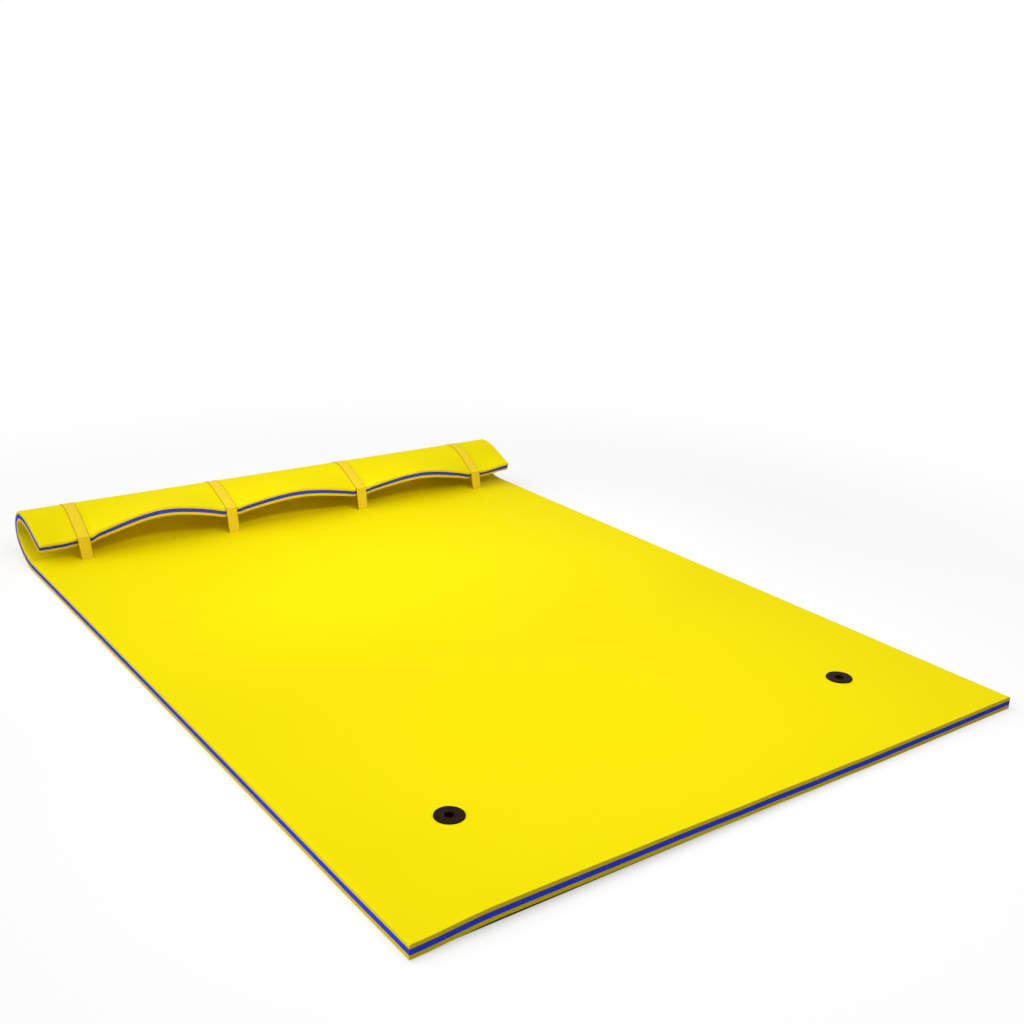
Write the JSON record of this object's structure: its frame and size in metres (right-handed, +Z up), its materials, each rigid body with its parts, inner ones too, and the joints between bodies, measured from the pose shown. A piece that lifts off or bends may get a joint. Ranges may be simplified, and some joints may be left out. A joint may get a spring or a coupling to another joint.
{
  "type": "swim float mat",
  "caption": "Large three-layer foam water mat with its head end curled over into a pillow held by webbing straps, and eyelets near the foot for a tether.",
  "frame": {"origin": "centre of the footprint, at the level that the mat lies on", "axes": "+Y runs along the mat from its foot to its pillow, +X across it to the right of someone who stands at the foot and looks at the pillow, +Z up"},
  "size_m": [1.829, 2.4741, 0.1686],
  "materials": {
    "foam_yellow": "smooth matte closed-cell foam",
    "foam_blue": "smooth matte closed-cell foam",
    "webbing": "flat woven polyester webbing",
    "black_plastic": "moulded, satin",
    "hook_tape": "fine plastic hooks",
    "loop_tape": "brushed loop pile"
  },
  "bodies": {
    "mat": {"top_foam": "foam_yellow", "core_foam": "foam_blue", "bottom_foam": "foam_yellow", "grommet_left_flange": "black_plastic", "grommet_left_washer": "black_plastic", "grommet_right_flange": "black_plastic", "grommet_right_washer": "black_plastic", "strap_1_webbing": "webbing", "strap_1_ring": "black_plastic", "strap_1_fold": "webbing", "strap_1_loop_patch": "loop_tape", "strap_2_webbing": "webbing", "strap_2_ring": "black_plastic", "strap_2_fold": "webbing", "strap_2_loop_patch": "loop_tape", "strap_3_webbing": "webbing", "strap_3_ring": "black_plastic", "strap_3_fold": "webbing", "strap_3_loop_patch": "loop_tape", "strap_4_webbing": "webbing", "strap_4_ring": "black_plastic", "strap_4_fold": "webbing", "strap_4_loop_patch": "loop_tape"},
    "strap_1_end": {"strap_1_tail": "webbing", "strap_1_hook_patch": "hook_tape"},
    "strap_2_end": {"strap_2_tail": "webbing", "strap_2_hook_patch": "hook_tape"},
    "strap_3_end": {"strap_3_tail": "webbing", "strap_3_hook_patch": "hook_tape"},
    "strap_4_end": {"strap_4_tail": "webbing", "strap_4_hook_patch": "hook_tape"}
  },
  "joints": [
    {"name": "strap_1_peel", "type": "hinge", "parent": "mat", "child": "strap_1_end", "pos_m": [-0.7553, 1.22944, 0.12571], "axis": [1, 0, 0], "range_deg": [0, 110], "deforming": ["strap_1_fold"]},
    {"name": "strap_2_peel", "type": "hinge", "parent": "mat", "child": "strap_2_end", "pos_m": [-0.25177, 1.22944, 0.12571], "axis": [1, 0, 0], "range_deg": [0, 110], "deforming": ["strap_2_fold"]},
    {"name": "strap_3_peel", "type": "hinge", "parent": "mat", "child": "strap_3_end", "pos_m": [0.25177, 1.22944, 0.12571], "axis": [1, 0, 0], "range_deg": [0, 110], "deforming": ["strap_3_fold"]},
    {"name": "strap_4_peel", "type": "hinge", "parent": "mat", "child": "strap_4_end", "pos_m": [0.7553, 1.22944, 0.12571], "axis": [1, 0, 0], "range_deg": [0, 110], "deforming": ["strap_4_fold"]}
  ]
}
